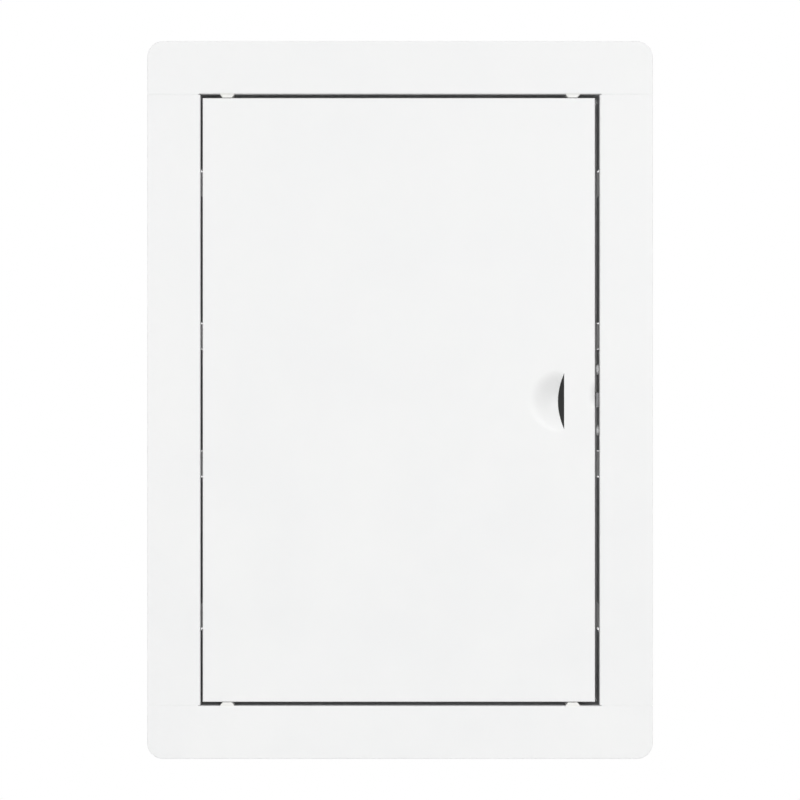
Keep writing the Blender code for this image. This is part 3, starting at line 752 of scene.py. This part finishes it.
def coil_rings(shape, low, high):
    """Rings of wire along the winding, whose pitch is small at the ends."""
    middle = (low + high) / 2
    radius = (high.y - low.y - COIL_WIRE) / 2
    start = low.x + COIL_WIRE / 2
    length = high.x - low.x - COIL_WIRE
    rings = []
    for step in range(COIL_TURNS * COIL_STEPS + 1):
        share = step / (COIL_TURNS * COIL_STEPS)
        rise = share - END_CLOSING * math.sin(math.tau * share) / math.tau
        turn = math.tau * COIL_TURNS * share
        outwards = Vector((0.0, math.cos(turn), math.sin(turn)))
        centre = Vector((start + length * rise, middle.y, middle.z)) + outwards * radius
        ring = []
        for side in range(COIL_SIDES):
            angle = math.tau * side / COIL_SIDES
            offset = outwards * math.cos(angle) + Vector((math.sin(angle), 0.0, 0.0))
            ring.append(shape.verts.new(centre + offset * COIL_WIRE / 2))
        rings.append(ring)
    return rings


def make_coil():
    """The coil, and the share of its length that is left when the nose is pushed home."""
    low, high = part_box("catch_spring")
    nose_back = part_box("catch_nose")[1].x
    clearance = low.x - nose_back
    anchor = high.x + clearance
    shape = bmesh.new()
    skin(shape, coil_rings(shape, low, high))
    coil = body_piece("coil_of_catch", shape, "frame", "spring_steel")
    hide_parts("catch_spring")
    keep = (anchor - low.x - NOSE_TRAVEL) / (anchor - low.x)
    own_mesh(coil)
    return coil, keep


coil, keep = make_coil()
print("coil vertices:", len(coil.data.vertices), "shortest:", round(keep, 2), "of its length")

# %% [markdown]
# ## Camera
# The photograph looks square-on at the door. How far away the camera stood can be read from
# the gap beside the latch: the deeper the wall seen through it, the nearer the camera. About
# a metre fits. The lens then follows from the width that the picture covers at the flange.

# %% The camera
VIEW_DISTANCE = 1.0
VIEW_WIDTH = 376.6 * MM
SENSOR_WIDTH = 36.0
NEAREST_SEEN = 10 * MM


def make_camera():
    """Puts the camera square-on before the middle of the door, and returns its lens."""
    face_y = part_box("frame_top_rail")[0].y
    data = bpy.data.cameras.new("camera")
    data.sensor_width = SENSOR_WIDTH
    data.lens = SENSOR_WIDTH * VIEW_DISTANCE / VIEW_WIDTH
    data.clip_start = NEAREST_SEEN
    camera = bpy.data.objects.new("camera", data)
    bpy.context.scene.collection.objects.link(camera)
    camera.location = (0.0, face_y - VIEW_DISTANCE, 0.0)
    camera.rotation_euler = (math.radians(90), 0.0, 0.0)
    bpy.context.scene.camera = camera
    return data.lens


print("lens:", round(make_camera(), 1), "mm")

# %% [markdown]
# ## Light
# The picture is lit flat, from a little above the camera: the scoop is darker at its top,
# and nothing has a hard shadow. Two softboxes, left and right of the camera and above it, do
# half of it. The world does the rest, more from above than from below, and hardly any of it
# from behind, so that the gaps stay dark. A third softbox stands behind the frame and shows
# its back, which the photograph doesn't see. The white of the background is only what the
# camera, a mirror or glass sees, and lights nothing.

# %% Lamps and world
UPPER_FILL = 0.9
LOWER_FILL = 0.2
BACK_FILL = 0.06
RISE_START = -0.3
RISE_END = 0.7
BACK_EDGE = 0.2
SOFTBOX_SIDE = 1.4
SOFTBOX_AWAY = 3.6
SOFTBOX_HEIGHT = 0.7
SOFTBOX_SIZE = (2.0, 1.2)
SOFTBOXES = (("softbox_right", 1, 42), ("softbox_left", -1, 33))
BEHIND_PLACE = (0.2, 4.0, 0.4)
BEHIND_SIZE = (1.0, 1.0)
BEHIND_POWER = 40


def lamp(name, place, size, power):
    """A rectangular softbox that faces the door."""
    data = bpy.data.lights.new(name, "AREA")
    data.shape = "RECTANGLE"
    data.size = size[0]
    data.size_y = size[1]
    data.energy = power
    light = bpy.data.objects.new(name, data)
    bpy.context.scene.collection.objects.link(light)
    light.location = place
    light.rotation_euler = (-Vector(place)).to_track_quat("-Z", "Y").to_euler()


def white_world():
    """White to the eye, but only a soft fill for the surfaces."""
    world = bpy.data.worlds.new("world")
    world.use_nodes = True
    bpy.context.scene.world = world
    sky = Graph(world.node_tree)
    heading = sky.node("TexCoord", output="Generated")
    into_wall = sky.node("SeparateXYZ", inputs={0: heading}, output="Y")
    upwards = sky.node("SeparateXYZ", inputs={0: heading}, output="Z")
    front = sky.spread(upwards, RISE_START, RISE_END, LOWER_FILL, UPPER_FILL)
    fill = sky.spread(into_wall, -BACK_EDGE, BACK_EDGE, front, BACK_FILL)
    white = sky.ray_sees_backdrop()
    back = world.node_tree.nodes["Background"]
    back.inputs["Color"].default_value = (1.0, 1.0, 1.0, 1.0)
    plug(world.node_tree, back.inputs["Strength"], white + fill * (1.0 - white))


white_world()
for name, side, power in SOFTBOXES:
    lamp(name, (side * SOFTBOX_SIDE, -SOFTBOX_AWAY, SOFTBOX_HEIGHT), SOFTBOX_SIZE, power)
lamp("softbox_behind", BEHIND_PLACE, BEHIND_SIZE, BEHIND_POWER)
print("world fill:", LOWER_FILL, "to", UPPER_FILL, "in front,", BACK_FILL, "behind")

# %% [markdown]
# ## Floor and cloth
# The door hangs well above a pale floor, so its shadow falls outside the picture but is there
# for the other views. Towards its rim the floor turns to the white of the background. Behind
# the opening hangs a dark cloth of painted shade, which stands for the shade inside the frame:
# the finger slot shows it, and it keeps the white of the background out of the slot and the
# gaps. It gives off a trace of grey, a painted glow as dim as the darkness behind the slot.
# From behind, it can't be seen, and its middle lets light through, so that the inside of the
# door isn't black there.

# %% The floor
FLOOR_DROP = 0.5
FLOOR_RADIUS = 1.3
FLOOR_SIDES = 96
FLOOR_PALE = (0.86, 0.86, 0.86, 1.0)
FLOOR_ROUGHNESS = 0.8
FLOOR_SHARE = 0.55
FADE_START = 0.5
FADE_END = 0.95


def stage_piece(name, corners, finish):
    """One flat face that belongs to the studio and not to the object."""
    shape = bmesh.new()
    shape.faces.new([shape.verts.new(corner) for corner in corners])
    mesh = bpy.data.meshes.new(name)
    shape.to_mesh(mesh)
    shape.free()
    mesh.materials.append(finish.material)
    piece = bpy.data.objects.new(name, mesh)
    bpy.context.scene.collection.objects.link(piece)
    return piece


def make_floor():
    """A round floor that turns white towards its rim. Returns its height."""
    low = CAD_BOX[0][2] - FLOOR_DROP
    turns = [math.tau * step / FLOOR_SIDES for step in range(FLOOR_SIDES)]
    rim = [(FLOOR_RADIUS * math.cos(t), FLOOR_RADIUS * math.sin(t), low) for t in turns]
    finish = Finish("pale_floor", FLOOR_ROUGHNESS)
    finish.feed("Base Color", FLOOR_PALE)
    flat = finish.node("VectorMath", {"operation": "MULTIPLY"}, {0: finish.place(), 1: (1, 1, 0)})
    reach = finish.node("VectorMath", {"operation": "LENGTH"}, {0: flat}, "Value")
    fade_from, fade_to = FADE_START * FLOOR_RADIUS, FADE_END * FLOOR_RADIUS
    fade = finish.spread(reach, fade_from, fade_to, FLOOR_SHARE, 1.0)
    glow = finish.node("Emission", inputs={"Color": (1.0, 1.0, 1.0, 1.0), "Strength": 1.0})
    finish.cover(finish.ray_sees_backdrop() * fade, glow)
    stage_piece("floor", rim, finish)
    return low


print("floor at", round(make_floor(), 3), "m")

# %% The cloth of painted shade behind the opening
CLOTH_SHADE_GREY = (0.03, 0.03, 0.03, 1.0)
CLOTH_ROUGHNESS = 0.9
CLOTH_PAINTED_GLOW = 0.03
CLOTH_GAUZE = 0.7
CLOTH_HEM = (4 * MM, 12 * MM)
CLOTH_MARGIN = 0.5 * MM


def away_from_hem(finish, axis, half):
    """One in the middle of the cloth, and nought along its two edges across this axis."""
    start, end = CLOTH_HEM
    return finish.fade(abs(finish.along(axis)), half - end, half - start)


def make_cloth():
    """Hangs the cloth just inside the rear lip of the collar. Returns its depth."""
    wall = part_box("frame_latch_stile")
    side = wall[1].x - FLANGE_WIDTH - CLOTH_MARGIN
    tall = wall[1].z - CLOTH_MARGIN
    depth = wall[1].y - CLOTH_MARGIN
    finish = Finish("painted_shade_cloth", CLOTH_ROUGHNESS)
    # painted shade: a dark sheet standing for the shade inside the frame
    finish.feed("Base Color", CLOTH_SHADE_GREY)
    finish.shader.inputs["Emission Color"].default_value = (1.0, 1.0, 1.0, 1.0)
    # painted glow: a trace of grey for the dim light behind the slot
    finish.shader.inputs["Emission Strength"].default_value = CLOTH_PAINTED_GLOW
    behind = finish.node("NewGeometry", output="Backfacing")
    middle = away_from_hem(finish, "X", side) * away_from_hem(finish, "Z", tall)
    gauze = (1.0 - finish.ray_sees_backdrop()) * middle * CLOTH_GAUZE
    finish.cover(behind.larger(gauze), finish.node("BsdfTransparent"))
    signs = ((-1, -1), (1, -1), (1, 1), (-1, 1))
    corners = [(side * across, depth, tall * up) for across, up in signs]
    stage_piece("painted_shade_cloth", corners, finish)
    return depth


print("cloth at", round(make_cloth(), 4), "m")

# The last job is to note the box of the solids as they were loaded.

# %% The view and the box of the solids
bpy.context.scene.view_settings.view_transform = "Standard"
print("CAD box:", CAD_BOX)
